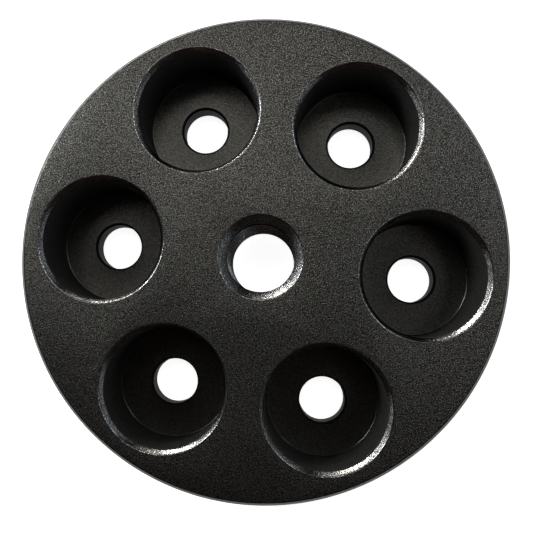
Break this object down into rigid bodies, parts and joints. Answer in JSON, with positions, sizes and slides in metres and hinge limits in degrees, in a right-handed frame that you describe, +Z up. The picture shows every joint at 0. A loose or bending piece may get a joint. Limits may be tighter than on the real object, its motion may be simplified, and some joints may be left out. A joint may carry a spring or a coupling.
{
  "type": "tool holder extension adapter",
  "caption": "Black round adapter disc with a ring of deep counterbored bolt holes and a countersunk tapped hole in the middle.",
  "frame": {"origin": "centre of the bottom face, on the axis of the tapped hole", "axes": "+Z up the disc's axis, out of the side with the open pockets; +X through the middle of one pocket"},
  "size_m": [0.08, 0.08, 0.016],
  "materials": {
    "black_steel": "satin"
  },
  "bodies": {
    "root": {"adapter_body": "black_steel"}
  },
  "joints": []
}
